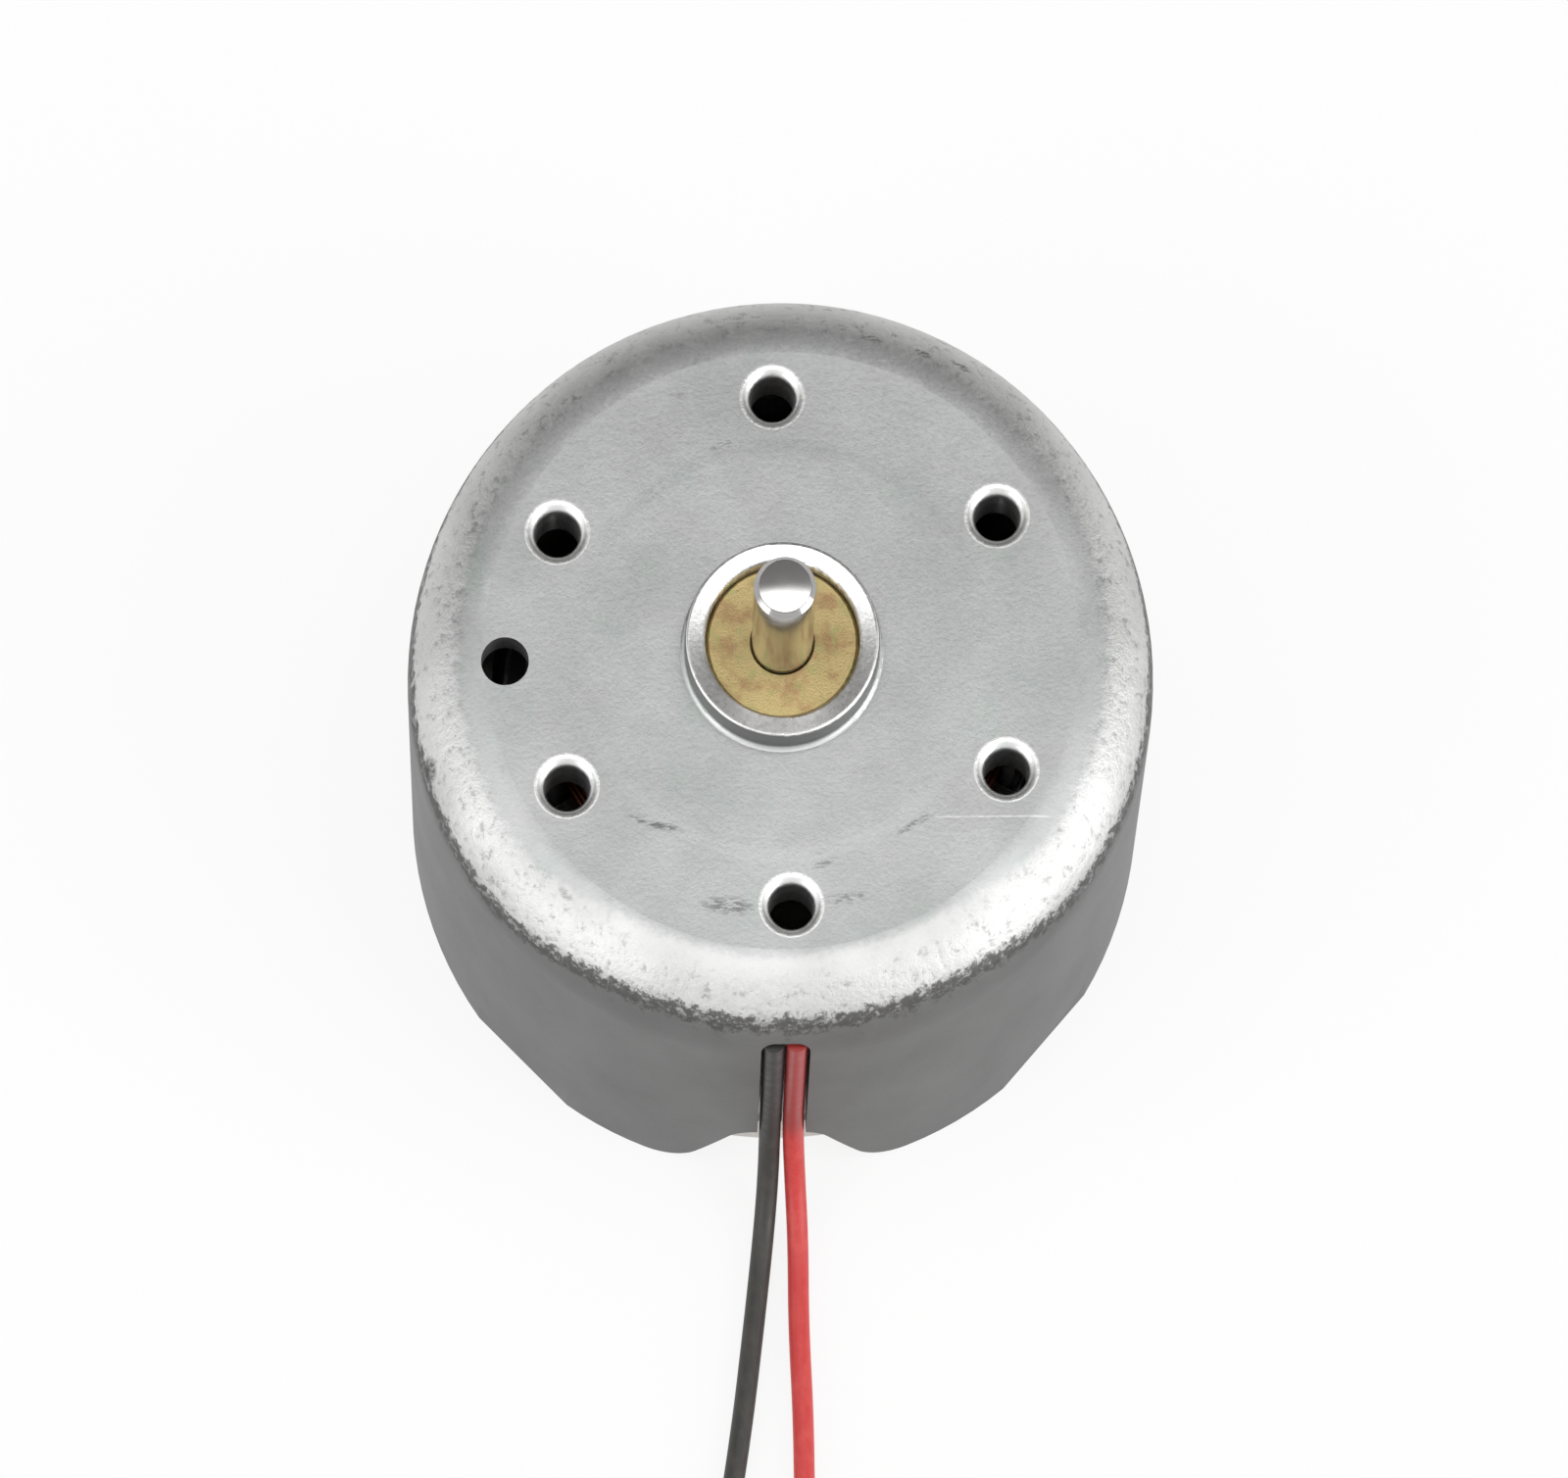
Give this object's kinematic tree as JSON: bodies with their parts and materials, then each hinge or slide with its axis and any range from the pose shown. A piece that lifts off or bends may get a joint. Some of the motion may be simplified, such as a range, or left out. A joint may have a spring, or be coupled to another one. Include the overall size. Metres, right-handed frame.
{
  "type": "flat round brushed DC motor",
  "caption": "Flat round brushed DC motor with a deep-drawn steel can, a plain output shaft, tapped face holes and two flying leads from a rear notch.",
  "frame": {"origin": "middle of the can's rear rim, on the surface that it stands on", "axes": "+Z out along the output shaft, -Y towards the notch that the leads leave by"},
  "size_m": [0.0263, 0.0473, 0.0171],
  "materials": {
    "can_steel": "zinc-plated deep-drawn steel, satin with fine mottling",
    "bearing_bronze": "sintered bronze, matte",
    "shaft_steel": "ground and polished steel",
    "magnet_ferrite": "rubber-bonded ferrite, dark and matte",
    "nylon_white": "moulded nylon",
    "lamination_steel": "stamped silicon steel sheet",
    "enamelled_copper": "enamelled copper wire, wound",
    "insulator_fibre": "vulcanised fibre sheet",
    "commutator_copper": "polished copper",
    "hub_plastic": "moulded thermoset",
    "varistor_ceramic": "fired varistor disc, matte",
    "washer_plastic": "acetal washer",
    "terminal_tin": "tinned bronze strip",
    "solder": "bright solder",
    "brush_bronze": "phosphor bronze spring strip",
    "brush_carbon": "pressed metal-graphite",
    "damper_rubber": "soft rubber",
    "lead_black": "soft extruded insulation, semi-gloss",
    "lead_red": "soft extruded insulation, semi-gloss",
    "tinned_wire": "tinned copper strands"
  },
  "bodies": {
    "housing": {"motor_can": "can_steel", "front_bearing": "bearing_bronze", "rear_bearing": "bearing_bronze", "thrust_pad": "washer_plastic", "ring_magnet": "magnet_ferrite", "end_cap": "nylon_white", "terminal_left": "terminal_tin", "terminal_right": "terminal_tin", "solder_left": "solder", "solder_right": "solder", "brush_arm_left": "brush_bronze", "brush_arm_right": "brush_bronze", "brush_tip_left": "brush_carbon", "brush_tip_right": "brush_carbon", "brush_damper_left": "damper_rubber", "brush_damper_right": "damper_rubber", "lead_black": "lead_black", "lead_black_coil": "lead_black", "lead_black_end": "tinned_wire", "lead_red": "lead_red", "lead_red_coil": "lead_red", "lead_red_end": "tinned_wire"},
    "rotor": {"shaft": "shaft_steel", "armature_core": "lamination_steel", "rear_insulator": "insulator_fibre", "front_insulator": "insulator_fibre", "commutator_hub": "hub_plastic", "commutator_segments": "commutator_copper", "varistor_ring": "varistor_ceramic", "rear_washer": "washer_plastic", "front_washer": "washer_plastic", "spacer": "washer_plastic", "winding_1": "enamelled_copper", "winding_2": "enamelled_copper", "winding_3": "enamelled_copper"}
  },
  "joints": [
    {"name": "rotor_spin", "type": "hinge", "parent": "housing", "child": "rotor", "pos_m": [0, 0, 0.009], "axis": [0, 0, 1], "continuous": true}
  ]
}
